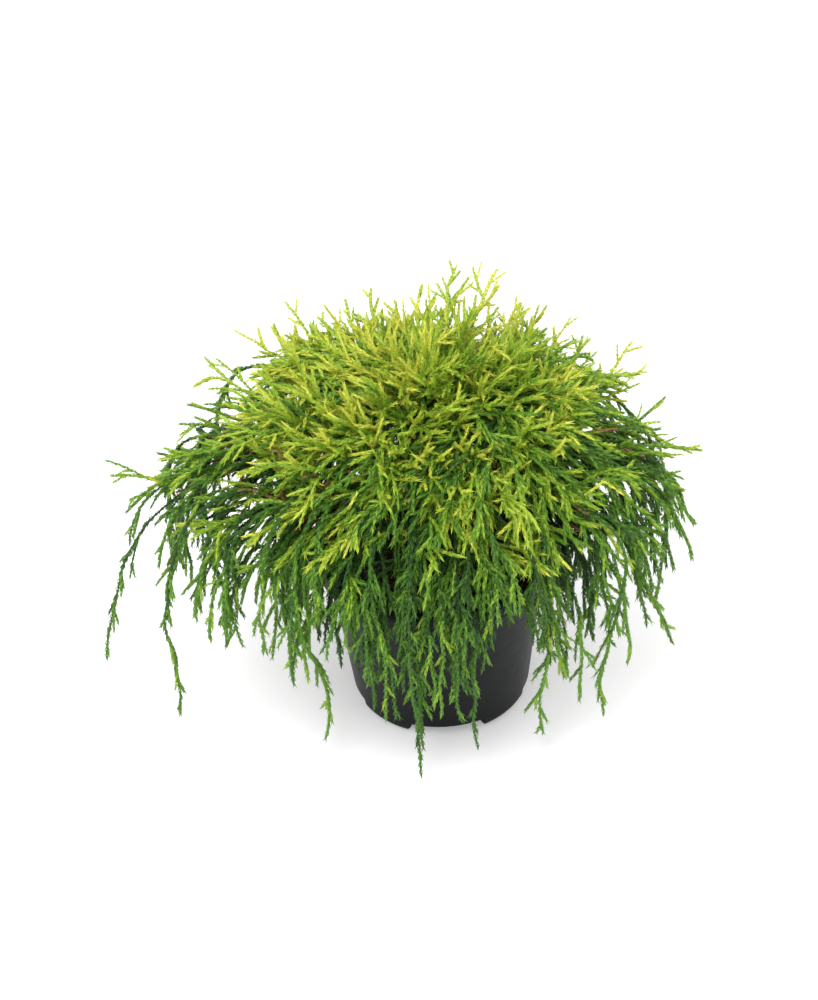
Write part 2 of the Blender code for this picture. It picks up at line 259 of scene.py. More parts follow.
grainNoise = {
    "patchDetail": 4, "patchesFrom": 0.35, "patchesTo": 0.65,
    "gritDetail": 3, "gritRoughness": 0.6, "gritFineness": 6,  # times finer than the patches
}


def makeGrainGroup():
    group = bpy.data.node_groups.new("surfaceGrain", "ShaderNodeTree")
    inputs = [
        ("Scale", "NodeSocketFloat", 40),
        ("Stretch", "NodeSocketVector", (1, 1, 1)),
        ("From", "NodeSocketFloat", grainNoise["patchesFrom"]),
        ("To", "NodeSocketFloat", grainNoise["patchesTo"]),
    ]
    for label, kind, value in inputs:
        socket = group.interface.new_socket(name=label, in_out="INPUT", socket_type=kind)
        socket.default_value = value
    for label in ("Patches", "Grit"):
        group.interface.new_socket(name=label, in_out="OUTPUT", socket_type="NodeSocketFloat")
    nodes, links = group.nodes, group.links
    given, result = nodes.new("NodeGroupInput"), nodes.new("NodeGroupOutput")
    place = nodes.new("ShaderNodeTexCoord")
    stretch = nodes.new("ShaderNodeVectorMath")
    stretch.operation = "MULTIPLY"
    links.new(place.outputs["Object"], stretch.inputs[0])
    links.new(given.outputs["Stretch"], stretch.inputs[1])
    broad = nodes.new("ShaderNodeTexNoise")
    broad.inputs["Detail"].default_value = grainNoise["patchDetail"]
    links.new(stretch.outputs[0], broad.inputs["Vector"])
    links.new(given.outputs["Scale"], broad.inputs["Scale"])
    spread = nodes.new("ShaderNodeMapRange")
    links.new(broad.outputs["Fac"], spread.inputs["Value"])
    links.new(given.outputs["From"], spread.inputs["From Min"])
    links.new(given.outputs["To"], spread.inputs["From Max"])
    links.new(spread.outputs["Result"], result.inputs["Patches"])
    finer = nodes.new("ShaderNodeMath")
    finer.operation = "MULTIPLY"
    finer.inputs[1].default_value = grainNoise["gritFineness"]
    links.new(given.outputs["Scale"], finer.inputs[0])
    grit = nodes.new("ShaderNodeTexNoise")
    grit.inputs["Detail"].default_value = grainNoise["gritDetail"]
    grit.inputs["Roughness"].default_value = grainNoise["gritRoughness"]
    links.new(stretch.outputs[0], grit.inputs["Vector"])
    links.new(finer.outputs[0], grit.inputs["Scale"])
    links.new(grit.outputs["Fac"], result.inputs["Grit"])
    return group


grained = {
    "pot_plastic": {"dark": (0.006, 0.007, 0.008), "pale": (0.010, 0.010, 0.011), "gloss": 0.08,
                    "rough": (0.36, 0.48), "scale": 30, "stretch": (1, 1, 1), "relief": 0.00008},
    "compost": {"dark": (0.022, 0.013, 0.008), "pale": (0.105, 0.062, 0.036), "gloss": 0.2,
                "rough": (0.85, 1.0), "scale": 160, "stretch": (1, 1, 1), "relief": 0.0006},
    "chips": {"dark": (0.050, 0.026, 0.014), "pale": (0.210, 0.115, 0.062), "gloss": 0.2,
              "rough": (0.75, 0.95), "scale": 220, "stretch": (1, 1, 0.4), "relief": 0.0003},
    "bark": {"dark": (0.085, 0.040, 0.022), "pale": (0.310, 0.165, 0.090), "gloss": 0.25,
             "rough": (0.75, 0.95), "scale": 240, "stretch": (1, 1, 0.25), "relief": 0.0004},
    "twig_bark": {"dark": (0.150, 0.075, 0.030), "pale": (0.360, 0.200, 0.080), "gloss": 0.3,
                  "rough": (0.60, 0.80), "scale": 300, "stretch": (1, 1, 1), "relief": 0.0002},
}


def grainedMaterial(name, group):
    facts = grained[name]
    material, shader = newMaterial(name)
    nodes, links = material.node_tree.nodes, material.node_tree.links
    grain = nodes.new("ShaderNodeGroup")
    grain.node_tree = group
    grain.inputs["Scale"].default_value = facts["scale"]
    grain.inputs["Stretch"].default_value = facts["stretch"]
    colour = nodes.new("ShaderNodeMix")
    colour.data_type = "RGBA"
    colour.inputs["A"].default_value = (*facts["dark"], 1)
    colour.inputs["B"].default_value = (*facts["pale"], 1)
    links.new(grain.outputs["Patches"], colour.inputs["Factor"])
    links.new(colour.outputs["Result"], shader.inputs["Base Color"])
    shader.inputs["Specular IOR Level"].default_value = facts["gloss"]
    rough = nodes.new("ShaderNodeMapRange")
    rough.inputs["To Min"].default_value = facts["rough"][0]
    rough.inputs["To Max"].default_value = facts["rough"][1]
    links.new(grain.outputs["Grit"], rough.inputs["Value"])
    links.new(rough.outputs["Result"], shader.inputs["Roughness"])
    bump = nodes.new("ShaderNodeBump")
    bump.inputs["Distance"].default_value = facts["relief"]
    links.new(grain.outputs["Grit"], bump.inputs["Height"])
    links.new(bump.outputs["Normal"], shader.inputs["Normal"])
    return material


# Tones of the threads, from the shaded inside to the sunlit tips: name, colour, slot
tones = [
    ("shadow_green", (0.014, 0.040, 0.007), "foliage_deep"),
    ("deep_green", (0.028, 0.080, 0.011), "foliage_deep"),
    ("mid_green", (0.055, 0.145, 0.015), "foliage_green"),
    ("fresh_green", (0.112, 0.250, 0.022), "foliage_green"),
    ("lime", (0.235, 0.385, 0.030), "foliage_lime"),
    ("yellow_green", (0.385, 0.520, 0.050), "foliage_gold"),
    ("gold", (0.590, 0.630, 0.075), "foliage_gold"),
]
threadSurface = {"roughness": 0.5, "gloss": 0.25}


def threadMaterial(name, colour):
    material, shader = newMaterial(name)
    shader.inputs["Base Color"].default_value = (*colour, 1)
    shader.inputs["Roughness"].default_value = threadSurface["roughness"]
    shader.inputs["Specular IOR Level"].default_value = threadSurface["gloss"]
    return material


# Pot

pot = {
    "height": 0.100, "rimRadius": 0.065, "lipHeight": 0.014, "wallTopRadius": 0.0583,
    "footRadius": 0.0488, "footRounding": 0.006, "footSteps": 8,
    "wall": 0.0014, "sides": 144, "sharpAngle": 38,
    "rimEdge": ((0.0009, 0), (0.0003, 0.0003), (0, 0.0009)),  # inward from the rim, down from the top
    "lipStep": ((0.0002, 0.0062), (0.0005, 0.0058), (0.0006, 0.0030), (0.0011, 0.0014),
                (0.0022, 0.0004), (0.0040, 0)),  # inward from the rim, up from the lip's underside
    "wallTop": ((0.0004, 0.0001), (0, 0.0006)),  # outward from the wall, down from the lip
    "insideEdge": 0.0004,
    "insideStep": ((0.0005, 3), (0.0015, 2)),  # inward from the lip, up in thicknesses of the wall
    "recesses": 4, "frontRecess": -88, "recessHalfAngle": 27, "recessSteps": 18,
    "recessInner": 0.026, "recessOuter": 1.3, "recessHeight": 0.008,
    "recessRounding": 0.0022, "roundingSteps": 3, "roundedAngle": 60,
    "drainRadius": 0.004, "drainCircle": 0.037, "drainSides": 32,
}


def spunSolid(name, profile):
    mesh = bpy.data.meshes.new(name)
    mesh.from_pydata([(r, 0, z) for r, z in profile], [(i, i + 1) for i in range(len(profile) - 1)], [])
    thing = newObject(name, mesh)
    editAll(thing)
    bpy.ops.mesh.spin(steps=pot["sides"], angle=math.tau, center=(0, 0, 0), axis=(0, 0, 1))
    bpy.ops.mesh.select_all(action="SELECT")
    bpy.ops.mesh.remove_doubles(threshold=1e-6)
    bpy.ops.mesh.normals_make_consistent(inside=False)
    bpy.ops.object.mode_set(mode="OBJECT")
    return thing


def footArc(radius, low):
    rounding = pot["footRounding"]
    turns = [math.pi / 2 * i / pot["footSteps"] for i in range(pot["footSteps"] + 1)]
    return [(radius - rounding + rounding * math.cos(a), low + rounding - rounding * math.sin(a))
            for a in turns]


def outerProfile():
    rim, top, wallTop = pot["rimRadius"], pot["height"], pot["wallTopRadius"]
    underLip = top - pot["lipHeight"]
    profile = [(0, top)]
    profile += [(rim - inward, top - down) for inward, down in pot["rimEdge"]]
    profile += [(rim - inward, underLip + up) for inward, up in pot["lipStep"]]
    profile += [(wallTop + outward, underLip - down) for outward, down in pot["wallTop"]]
    return profile + footArc(pot["footRadius"], 0) + [(0, 0)]


def hollowProfile():
    wall, top = pot["wall"], pot["height"]
    underLip = top - pot["lipHeight"]
    foot = footArc(pot["footRadius"] - wall, wall)
    slope = (pot["wallTopRadius"] - pot["footRadius"]) / (underLip - pot["footRounding"])
    atStep = foot[0][0] + slope * (underLip - foot[0][1])
    inside = pot["rimRadius"] - wall
    profile = [(0, top + wall), (inside, top + wall), (inside, top - pot["insideEdge"])]
    profile += [(inside - inward, underLip + up * wall) for inward, up in pot["insideStep"]]
    return profile + [(atStep, underLip + wall)] + foot + [(0, wall)]


def recessCutter(middle, margin):
    inner, outer = pot["recessInner"] - margin, pot["footRadius"] * pot["recessOuter"]
    half = math.radians(pot["recessHalfAngle"]) + margin / pot["footRadius"]
    height, steps = pot["recessHeight"] + margin, pot["recessSteps"]
    turns = [middle - half + 2 * half * i / steps for i in range(steps + 1)]
    outline = [around(outer, a, -height) for a in turns]
    outline += [around(inner, a, -height) for a in reversed(turns)]
    mesh = bpy.data.meshes.new("recessCutter")
    mesh.from_pydata([tuple(corner) for corner in outline], [], [list(range(len(outline)))])
    cutter = newObject("recessCutter", mesh)
    editAll(cutter)
    bpy.ops.mesh.extrude_region_move(TRANSFORM_OT_translate={"value": (0, 0, 2 * height)})
    bpy.ops.mesh.select_all(action="SELECT")
    bpy.ops.mesh.normals_make_consistent(inside=False)
    bpy.ops.object.mode_set(mode="OBJECT")
    rounding = cutter.modifiers.new("rounding", "BEVEL")
    rounding.width = pot["recessRounding"]
    rounding.segments = pot["roundingSteps"]
    rounding.angle_limit = math.radians(pot["roundedAngle"])
    applyModifiers(cutter)
    return cutter


def drainCutter(azimuth):
    place = around(pot["drainCircle"], azimuth, pot["recessHeight"])
    bpy.ops.object.select_all(action="DESELECT")
    bpy.ops.mesh.primitive_cylinder_add(vertices=pot["drainSides"], radius=pot["drainRadius"],
                                        depth=2 * pot["recessHeight"], location=tuple(place))
    return bpy.context.object


def cutWith(thing, cutters):
    for cutter in cutters:
        boolean = thing.modifiers.new("cut", "BOOLEAN")
        boolean.operation = "DIFFERENCE"
        boolean.object = cutter
        applyModifiers(thing)
    for cutter in cutters:
        bpy.data.objects.remove(cutter, do_unlink=True)


def makePot(material):
    azimuths = [math.radians(pot["frontRecess"]) + i * math.tau / pot["recesses"]
                for i in range(pot["recesses"])]
    hollow = spunSolid("hollow", hollowProfile())
    hollow.rotation_euler.z = math.pi / pot["sides"]  # its facets meet the outer ones half way
    cutWith(hollow, [recessCutter(a, pot["wall"]) for a in azimuths])
    shell = spunSolid("pot_shell", outerProfile())
    cutWith(shell, [recessCutter(a, 0) for a in azimuths])
    cutWith(shell, [drainCutter(a) for a in azimuths])
    cutWith(shell, [hollow])
    selectOnly(shell)
    bpy.ops.object.shade_smooth_by_angle(angle=math.radians(pot["sharpAngle"]))
    finishPiece(shell, material, "pot_plastic", "pot")
    print("pot", len(shell.data.polygons), "faces")


# Compost

compost = {
    "edgeInset": 0.0008, "rings": 16, "ringWidth": 0.0033, "roughRadius": 0.0565,
    "lumps": 0.0022, "lumpScale": 130, "lumpEdge": 0.004,
    "lumpNoise": (0.8, 2.1, 4),  # fall-off, lacunarity and octaves
    "collar": 0.0030, "collarRadius": 0.020,
}
chip = {
    "count": 420, "sizes": (0.0022, 0.0060), "widths": (0.4, 0.8), "heights": (0.2, 0.45),
    "wear": (0.6, 1.1), "tilt": 0.35, "lift": 0.0006, "reach": 0.053,
    "clearMiddle": 0.03,  # share of the bed's area, round the stem
}


def copyOfNode(node, name):
    thing = newObject(name, bpy.data.objects[node].data.copy())
    editAll(thing)
    bpy.ops.mesh.remove_doubles(threshold=1e-6)
    bpy.ops.object.mode_set(mode="OBJECT")
    return thing


def bedHeight(x, y, top):
    radius = math.hypot(x, y)
    rough = noise.fractal(Vector((x, y, 0)) * compost["lumpScale"], *compost["lumpNoise"])
    edge = min(1, max(0, (chip["reach"] + compost["lumpEdge"] - radius) / compost["lumpEdge"]))
    collar = compost["collar"] * math.exp(-(radius / compost["collarRadius"]) ** 2)
    return top + collar + compost["lumps"] * rough * edge


def makeBed(material, top):
    bed = copyOfNode("compost", "compost_bed")
    bpy.ops.object.mode_set(mode="EDIT")
    bpy.ops.mesh.select_mode(type="FACE")
    bpy.ops.mesh.select_all(action="DESELECT")
    bpy.ops.object.mode_set(mode="OBJECT")
    for face in bed.data.polygons:
        face.select = face.normal.z > 0.9 and abs(face.center.z - top) < 1e-4
    bpy.ops.object.mode_set(mode="EDIT")
    bpy.ops.mesh.dissolve_faces()
    bpy.ops.mesh.inset(thickness=compost["edgeInset"])
    for ring in range(compost["rings"]):
        bpy.ops.mesh.inset(thickness=compost["ringWidth"])
    bpy.ops.mesh.select_more()
    for ring in range(compost["rings"]):
        bpy.ops.mesh.select_more()
    bpy.ops.mesh.quads_convert_to_tris()
    bpy.ops.mesh.subdivide(number_cuts=1)
    bpy.ops.object.mode_set(mode="OBJECT")
    for corner in bed.data.vertices:
        inside = math.hypot(corner.co.x, corner.co.y) < compost["roughRadius"]
        if inside and abs(corner.co.z - top) < 1e-5:
            corner.co.z = bedHeight(corner.co.x, corner.co.y, top)
    bed.data.shade_smooth()
    finishPiece(bed, material, "compost", "compost")
    print("compost", len(bed.data.polygons), "faces")


def makeChips(material, top):
    cube = np.array([(x, y, z) for x in (-1, 1) for y in (-1, 1) for z in (-1, 1)], float)
    sides = [(0, 1, 3, 2), (4, 6, 7, 5), (0, 4, 5, 1), (2, 3, 7, 6), (0, 2, 6, 4), (1, 5, 7, 3)]
    triangles = np.array([t for a, b, c, d in sides for t in ((a, b, c), (a, c, d))])
    corners, faces = [], []
    for number in range(chip["count"]):
        radius = chip["reach"] * math.sqrt(rng.uniform(chip["clearMiddle"], 1))
        azimuth = rng.uniform(0, math.tau)
        size = rng.uniform(*chip["sizes"]) / 2
        shape = cube * np.array([1, rng.uniform(*chip["widths"]), rng.uniform(*chip["heights"])]) * size
        shape *= rng.uniform(*chip["wear"], shape.shape)
        turn = Matrix.Rotation(rng.uniform(0, math.tau), 3, "Z")
        turn = turn @ Matrix.Rotation(rng.normal(0, chip["tilt"]), 3, "X")
        turn = turn @ Matrix.Rotation(rng.normal(0, chip["tilt"]), 3, "Y")
        x, y = radius * math.cos(azimuth), radius * math.sin(azimuth)
        place = np.array([x, y, bedHeight(x, y, top) + chip["lift"]])
        corners.append(shape @ np.array(turn).T + place)
        faces.append(triangles + len(cube) * number)
    chips = arrayMesh("compost_chips", np.concatenate(corners), np.concatenate(faces), smooth=False)
    finishPiece(chips, material, "compost")
    print("chips", chip["count"])


# Bark on the stem and boughs

barkRelief = {
    "stem": {"levels": 3, "depth": 0.0009, "swell": 0.0004, "scale": 260, "lengthwise": 0.22},
    "bough": {"levels": 2, "depth": 0.0004, "swell": 0.0003, "scale": 420, "lengthwise": 1.0},
}
barkNoise = (0.9, 2.1, 3, 0.9, 1.6)  # fall-off, lacunarity, octaves, offset and gain
boughNames = [f"bough_{number:02d}" for number in range(1, 13)]


def barkedCopy(node, name, facts):
    limb = copyOfNode(node, name)
    smoothing = limb.modifiers.new("smoothing", "SUBSURF")
    smoothing.levels = smoothing.render_levels = facts["levels"]
    applyModifiers(limb)
    for corner in limb.data.vertices:
        place = corner.co * facts["scale"]
        place.z *= facts["lengthwise"]
        ridge = noise.ridged_multi_fractal(place, *barkNoise)
        corner.co += corner.normal * (facts["swell"] + facts["depth"] * (ridge - 1) / 2)
    limb.data.shade_smooth()
    return limb


def makeBark(material):
    stem = barkedCopy("stem", "stem_bark", barkRelief["stem"])
    finishPiece(stem, material, "bark", "stem")
    limbs = [barkedCopy(name, name + "_bark", barkRelief["bough"]) for name in boughNames]
    selectOnly(limbs[0])
    for limb in limbs[1:]:
        limb.select_set(True)
    bpy.ops.object.join()
    limbs[0].name = "bough_bark"
    finishPiece(limbs[0], material, "bark", *boughNames)
    print("bark", len(stem.data.polygons) + len(limbs[0].data.polygons), "faces")


# Paths and tubes that the twigs and the threads share

course = {
    "pull": 0.38, "samples": 33,
    "slowWave": 95, "quickWave": 210,  # radians a metre
    "quickShare": 0.6,
}


def evenSteps(curve, step):
    lengths = np.r_[0, np.cumsum(np.linalg.norm(np.diff(curve, axis=0), axis=1))]
    count = max(3, int(round(lengths[-1] / step)) + 1)
    places = np.linspace(0, lengths[-1], count)
    return np.stack([np.interp(places, lengths, curve[:, axis]) for axis in range(3)], 1)


def archPath(root, tip, leaving, arriving, step):
    reach = np.linalg.norm(tip - root) * course["pull"]
    first, second = root + unit(leaving) * reach, tip - unit(arriving) * reach
    t = np.linspace(0, 1, course["samples"])[:, None]
    s = 1 - t
    curve = s ** 3 * root + 3 * s ** 2 * t * first + 3 * s * t ** 2 * second + t ** 3 * tip
    return evenSteps(curve, step)


def wavy(path, amount):
    along = np.linspace(0, 1, len(path))[:, None]
    across, phase = unit(rng.normal(size=(2, 3))), rng.uniform(0, math.tau, 2)
    length = np.linalg.norm(path[-1] - path[0])
    slow = np.sin(along * length * course["slowWave"] + phase[0]) * across[0]
    quick = course["quickShare"] * np.sin(along * length * course["quickWave"] + phase[1]) * across[1]
    return path + amount * (slow + quick) * np.sin(along * math.pi * 0.5)


def sectionAxes(path):
    headings = unit(np.gradient(path, axis=0))
    first = unit(np.cross(unit(rng.normal(size=3)), headings))
    return headings, first, np.cross(headings, first)


def tubeArrays(path, first, second, radii, sides):
    turns = math.tau * np.arange(sides) / sides
    rings = np.cos(turns)[None, :, None] * first[:, None] + np.sin(turns)[None, :, None] * second[:, None]
    corners = path[:, None] + rings * radii[:, None, None]
    a = np.arange(sides)
    b = (a + 1) % sides
    rows = (np.arange(len(path) - 1) * sides)[:, None]
    lower = np.stack([rows + a, rows + b, rows + b + sides], -1)
    upper = np.stack([rows + a, rows + b + sides, rows + a + sides], -1)
    spokes = np.arange(1, sides - 1)
    top = (len(path) - 1) * sides
    bottomCap = np.stack([0 * spokes, spokes + 1, spokes], -1)
    topCap = np.stack([0 * spokes + top, spokes + top, spokes + 1 + top], -1)
    triangles = np.concatenate([lower.reshape(-1, 3), upper.reshape(-1, 3), bottomCap, topCap])
    return corners.reshape(-1, 3), triangles


def joined(name, parts, smooth):
    starts = np.cumsum([0] + [len(corners) for corners, triangles in parts[:-1]])
    corners = np.concatenate([c for c, t in parts])
    triangles = np.concatenate([t + start for (c, t), start in zip(parts, starts)])
    return arrayMesh(name, corners, triangles, smooth)


# Twigs: a scaffold that grows on from the boughs, and carries the threads

twig = {
    "step": 0.004, "sides": 6, "rootRadius": 0.0014, "tipRadius": 0.0006, "knots": (0.85, 1.12),
    "waver": 0.0015, "droop": 0.25,
    "lineRings": 7,  # rings of corners that give a bough's middle line
    "lastRings": 3,  # twigs and threads start from these
    "shoulderBoughs": 9,  # the rest carry the top
}
twigGroups = {  # spread in degrees to each side of the bough, share of the crown's reach, depth in it
    "shoulder": {"count": 7, "spread": 24, "shares": (0.50, 0.88), "depths": (0.010, 0.034)},
    "low": {"count": 2, "spread": 24, "shares": (0.55, 0.78), "depths": (0.045, 0.065)},
    "top": {"count": 8, "spread": 60, "shares": (0.06, 0.52), "depths": (0.014, 0.036)},
}


def boughLine(name):
    corners = np.round([tuple(corner.co) for corner in bpy.data.objects[name].data.vertices], 6)
    corners = np.unique(corners, axis=0)
    middle = corners.mean(0)
    axis = np.linalg.svd(corners - middle)[2][0]
    rings = np.array_split(corners[np.argsort((corners - middle) @ axis)], twig["lineRings"])
    line = np.array([ring.mean(0) for ring in rings])
    return line if np.hypot(*line[0][:2]) < np.hypot(*line[-1][:2]) else line[::-1]


def growTwig(line, azimuth, share, depth):
    start = rng.integers(len(line) - twig["lastRings"], len(line))
    heading = unit(line[min(start + 1, len(line) - 1)] - line[start - 1])
    tip = onCrown(share, azimuth, crownHeight(share) - depth)
    outward = around(1, azimuth, -twig["droop"] * share)
    return wavy(archPath(line[start], tip, heading, outward, twig["step"]), twig["waver"])


def growScaffold():
    twigs = []
    lines = [boughLine(name) for name in boughNames]
    for number, line in enumerate(lines):
        azimuth = math.atan2(line[-1][1], line[-1][0])
        groups = ("shoulder", "low") if number < twig["shoulderBoughs"] else ("top",)
        for facts in (twigGroups[group] for group in groups):
            spread = math.radians(facts["spread"])
            for i in range(facts["count"]):
                turned = azimuth + rng.uniform(-spread, spread)
                share, depth = rng.uniform(*facts["shares"]), rng.uniform(*facts["depths"])
                twigs.append(growTwig(line, turned, share, depth))
    return lines, twigs


def makeTwigs(twigs, material):
    parts = []
    for path in twigs:
        radii = np.linspace(twig["rootRadius"], twig["tipRadius"], len(path))
        radii = radii * rng.uniform(*twig["knots"], len(path))
        headings, first, second = sectionAxes(path)
        parts.append(tubeArrays(path, first, second, radii, twig["sides"]))
    piece = joined("twigs", parts, smooth=True)
    finishPiece(piece, material, "bark")
    print("twigs", len(piece.data.polygons), "triangles")


# Threads: whip-like shoots clothed in pairs of scale leaves, each pair a quarter turn from the last

thread = {
    "pitch": 0.0023,  # one pair of scale leaves a step
    "radii": (0.00134, 0.00122, 0.00112),  # of a main thread, its shoots and their twiglets
    "core": 0.46,  # share of the radius
    "tipSize": 0.80, "tipGain": 0.10,  # size of the last pair, and what each pair before it gains
    "taper": 0.12,
    "toneSpread": 0.4, "fewestSteps": 3,
}
leaf = {  # outward and sideways in radii of the thread, along it in pitches
    "rootOut": 0.25, "rootAlong": 0.25, "rootHalfWidth": 0.74,
    "bulgeOut": 0.95, "bulgeAlong": 0.30,
    "tipOut": 1.22, "tipAlong": 1.15,
    "triangles": ((0, 3, 2), (1, 2, 3), (0, 2, 1), (0, 1, 3)),
}


def scaleLeaves(path, headings, first, second, sizes):
    pitch = thread["pitch"]
    odd = (np.arange(len(path)) % 2 == 1)[:, None]
    across, along = np.where(odd, second, first), np.where(odd, -first, second)
    size = sizes[:, None]
    corners = []
    for side in (1, -1):
        a, b = across * side, along * side
        root = path + a * leaf["rootOut"] * size - headings * leaf["rootAlong"] * pitch
        halfWidth = b * leaf["rootHalfWidth"] * size
        bulge = path + a * leaf["bulgeOut"] * size + headings * leaf["bulgeAlong"] * pitch
        tip = path + a * leaf["tipOut"] * size + headings * leaf["tipAlong"] * pitch
        corners.append(np.stack([root + halfWidth, root - halfWidth, bulge, tip], 1))
    corners = np.concatenate(corners)
    starts = (np.arange(len(corners)) * 4)[:, None, None]
    return corners.reshape(-1, 3), (starts + np.array(leaf["triangles"])).reshape(-1, 3)


def threadArrays(path, radius):
    headings, first, second = sectionAxes(path)
    left = np.arange(len(path))[::-1]
    sizes = radius * np.minimum(1, thread["tipSize"] + thread["tipGain"] * left)
    sizes = sizes * (1 - thread["taper"] * np.linspace(0, 1, len(path)))
    coreCorners, coreTriangles = tubeArrays(path, first, second, sizes * thread["core"], 3)
    leafCorners, leafTriangles = scaleLeaves(path, headings, first, second, sizes)
    corners = np.concatenate([coreCorners, leafCorners])
    return corners, np.concatenate([coreTriangles, leafTriangles + len(coreCorners)])


limits = np.array([[float(v) for v in corner] for corner in cadBox])
limits = limits + np.array([[-1], [1]]) * crown["spare"]


def keepClear(path):
    radius = np.maximum(np.hypot(path[:, 0], path[:, 1]), 1e-4)
    near = np.clip((crown["overRim"] - path[:, 2]) / crown["rimBlend"], 0, 1)
    least = crown["rimRadius"] * near * near * (3 - 2 * near)
    path = path.copy()
    path[:, :2] *= np.maximum(least / radius, 1)[:, None]
    inside = np.all((path > limits[0]) & (path < limits[1]), axis=1) & (path[:, 2] > crown["floorGap"])
    stop = len(path) if inside.all() else int(np.argmin(inside))
    return path[:stop]


threads = []  # tone, radius and path of each


def addThread(path, radius, tone):
    if len(path) >= thread["fewestSteps"]:
        level = tone + rng.normal(0, thread["toneSpread"])
        threads.append((int(round(min(max(level, 0), len(tones) - 1))), radius, path))


# How the sprays of each part of the crown grow: where the first shoot is and how far apart they are,
# fork angles in degrees, sweep as the pull on a shoot, tone at the root and tones lighter at the tip
habits = {
    "top": {"shoot": 0.021, "first": 0.20, "spacing": (0.0055, 0.0090), "fork": (26, 46),
            "twiglet": 0.013, "sweep": (0, 0, 0.40), "tone": 3.5, "lighter": 1.8},
    "shoulder": {"shoot": 0.031, "first": 0.22, "spacing": (0.0075, 0.0115), "fork": (22, 38),
                 "twiglet": 0.011, "sweep": (0, 0, -0.25), "tone": 1.9, "lighter": 2.2},
    "fan": {"shoot": 0.016, "first": 0.35, "spacing": (0.0080, 0.0130), "fork": (16, 30),
            "twiglet": 0.009, "sweep": (0, 0, -0.30), "tone": 1.5, "lighter": 2.0},
    "hanging": {"shoot": 0.021, "first": 0.28, "spacing": (0.0095, 0.0150), "fork": (16, 32),
                "twiglet": 0.009, "sweep": (0, 0, -0.90), "tone": 1.3, "lighter": 1.9},
    "skirt": {"shoot": 0.014, "first": 0.35, "spacing": (0.0100, 0.0160), "fork": (14, 28),
              "twiglet": 0.008, "sweep": (0, 0, -1.00), "tone": 0.9, "lighter": 1.6},
    "inner": {"shoot": 0.018, "first": 0.25, "spacing": (0.0090, 0.0140), "fork": (28, 50),
              "twiglet": 0.008, "sweep": (0, 0, -0.20), "tone": 0.1, "lighter": 0.4},
}
forking = {
    "firstSpread": (0.7, 1.3), "firstTwiglet": 0.3, "bareEnd": 1.5,  # pitches
    "roll": 0.5, "turn": 0.35, "bend": 0.16, "fullSweepAt": 0.03,
    "endReach": 0.22, "reachPower": 0.85, "reachSpread": (0.5, 1.2), "shortest": 0.008,
    "unforkedSteps": 5,
}
spray = {
    "waver": (0.0008, 0.0022), "straight": 0.6, "aimSpread": 0.12,
    "fewestSteps": 5, "toneSpread": 0.5,
    "split": 0.55, "outerLighter": 0.6,  # the outer part of a main thread is a thread of its own
}
sunnySpots = [  # place, spread, tones lighter
    ((0.033, -0.070, 0.150), 0.020, 2.2),
    ((0.090, 0.000, 0.170), 0.018, 1.2),
    ((-0.065, -0.060, 0.148), 0.020, 1.0),
    ((0.010, 0.050, 0.205), 0.045, 0.6),
    ((-0.070, 0.030, 0.190), 0.045, 0.8),
]


def sunlight(place):
    bright = 0
    for spot, spread, lighter in sunnySpots:
        bright += lighter * math.exp(-np.sum((place - np.array(spot)) ** 2) / (2 * spread ** 2))
    return bright


def shootPath(start, heading, length, sweep):
    count = max(3, int(round(length / thread["pitch"])) + 1)
    t = np.linspace(0, 1, count)[:, None]
    bend = rng.normal(0, forking["bend"], 3)
    pull = np.asarray(sweep) * min(1, length / forking["fullSweepAt"])
    headings = unit(heading + t * (pull + bend))
    steps = np.vstack([np.zeros(3), headings[:-1] * thread["pitch"]])
    return keepClear(start + np.cumsum(steps, axis=0))


def growShoots(main, tone, habit, order):
    length, first = habit["shoot"], habit["first"]
    if order == 2:
        length, first = habit["twiglet"], forking["firstTwiglet"]
    headings = unit(np.gradient(main, axis=0))
    whole = (len(main) - 1) * thread["pitch"]
    place = whole * first * rng.uniform(*forking["firstSpread"])
    side = rng.choice((-1, 1))
    roll = rng.normal(0, forking["roll"])
    while place < whole - forking["bareEnd"] * thread["pitch"]:
        share = place / whole
        index = int(place / thread["pitch"])
        heading = headings[index]
        azimuth = math.atan2(main[index][1], main[index][0])
        flat = around(1, azimuth + math.pi / 2, 0)
        flat = unit(flat - heading * np.dot(flat, heading))
        turn = roll + rng.normal(0, forking["turn"])
        sideways = flat * math.cos(turn) + np.cross(heading, flat) * math.sin(turn)
        fork = math.radians(rng.uniform(*habit["fork"]))
        swell = math.sin(math.pi * share ** forking["reachPower"])
        reach = length * (forking["endReach"] + (1 - forking["endReach"]) * swell)
        reach = reach * rng.uniform(*forking["reachSpread"])
        path = shootPath(main[index], heading * math.cos(fork) + sideways * side * math.sin(fork),
                         max(reach, forking["shortest"]), habit["sweep"])
        lighter = tone + habit["lighter"] * share
        addThread(path, thread["radii"][order], lighter)
        if order == 1 and len(path) > forking["unforkedSteps"]:
            growShoots(path, lighter, habit, 2)
        side = -side
        place += rng.uniform(*habit["spacing"])


def growSpray(root, tip, leaving, arriving, habitName):
    habit = habits[habitName]
    arch = archPath(root, tip, leaving, arriving, thread["pitch"])
    path = keepClear(wavy(arch, rng.uniform(*spray["waver"])))
    if len(path) <= thread["fewestSteps"]:
        return
    main = evenSteps(path, thread["pitch"])
    if len(main) < spray["fewestSteps"]:
        return
    tone = habit["tone"] + sunlight(tip) + rng.normal(0, spray["toneSpread"])
    split = int(len(main) * spray["split"])
    addThread(main[:split + 1], thread["radii"][0], tone)
    addThread(main[split:], thread["radii"][0], tone + spray["outerLighter"] * habit["lighter"])
    growShoots(main, tone, habit, 1)


